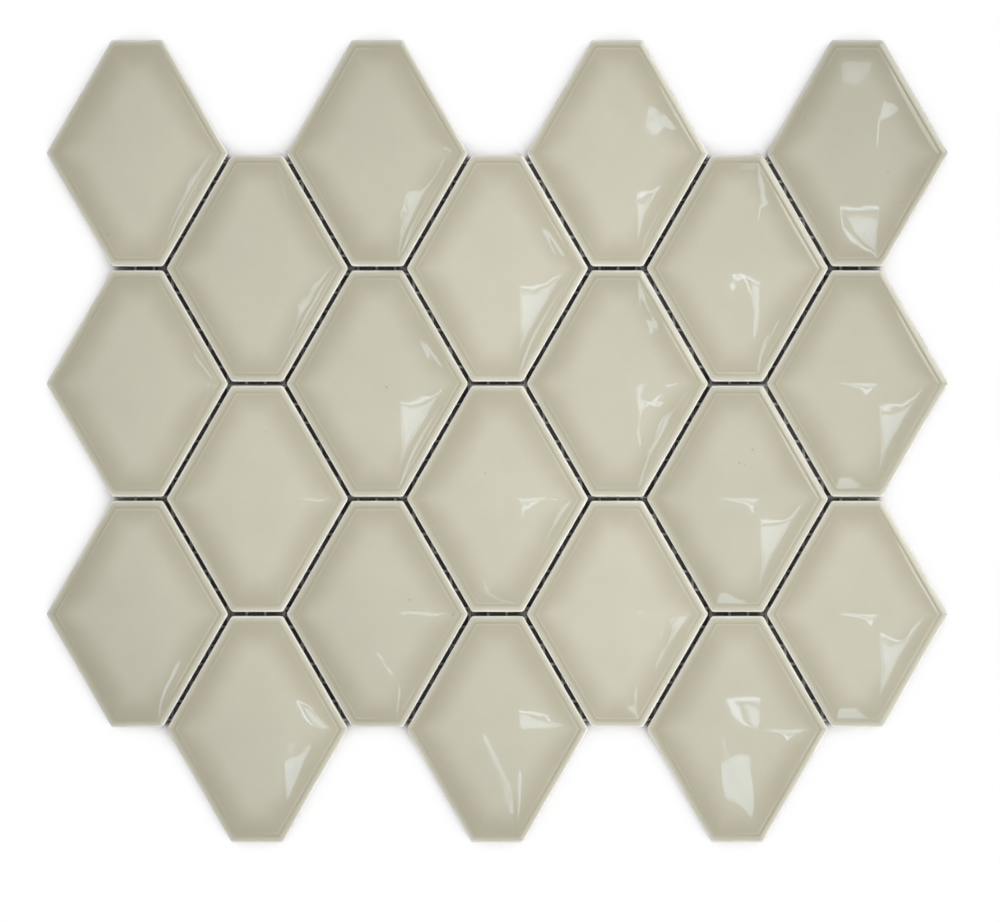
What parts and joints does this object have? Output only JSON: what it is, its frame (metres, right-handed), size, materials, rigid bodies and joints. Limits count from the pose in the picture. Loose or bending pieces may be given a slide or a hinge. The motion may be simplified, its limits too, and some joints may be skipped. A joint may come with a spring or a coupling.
{
  "type": "mosaic tile",
  "caption": "Interlocking mosaic tile sheet: glossy crowned ceramic chips shaped as elongated hexagons, set in staggered columns on a glass-fibre net.",
  "frame": {"origin": "middle of the sheet's back, at the underside of the net", "axes": "+X across the columns of chips, +Y along the chips, +Z out of the glazed face"},
  "size_m": [0.2904, 0.2588, 0.0084],
  "materials": {
    "chip": "glossy, slightly pooled warm grey-beige glaze over a pale pressed ceramic body",
    "net": "off-white coated glass-fibre strands"
  },
  "bodies": {
    "root": {"net_long_strands": "net", "net_cross_strands": "net", "chip_1_1": "chip", "chip_1_2": "chip", "chip_1_3": "chip", "chip_2_1": "chip", "chip_2_2": "chip", "chip_2_3": "chip", "chip_3_1": "chip", "chip_3_2": "chip", "chip_3_3": "chip", "chip_4_1": "chip", "chip_4_2": "chip", "chip_4_3": "chip", "chip_5_1": "chip", "chip_5_2": "chip", "chip_5_3": "chip", "chip_6_1": "chip", "chip_6_2": "chip", "chip_6_3": "chip", "chip_7_1": "chip", "chip_7_2": "chip", "chip_7_3": "chip"}
  },
  "joints": []
}
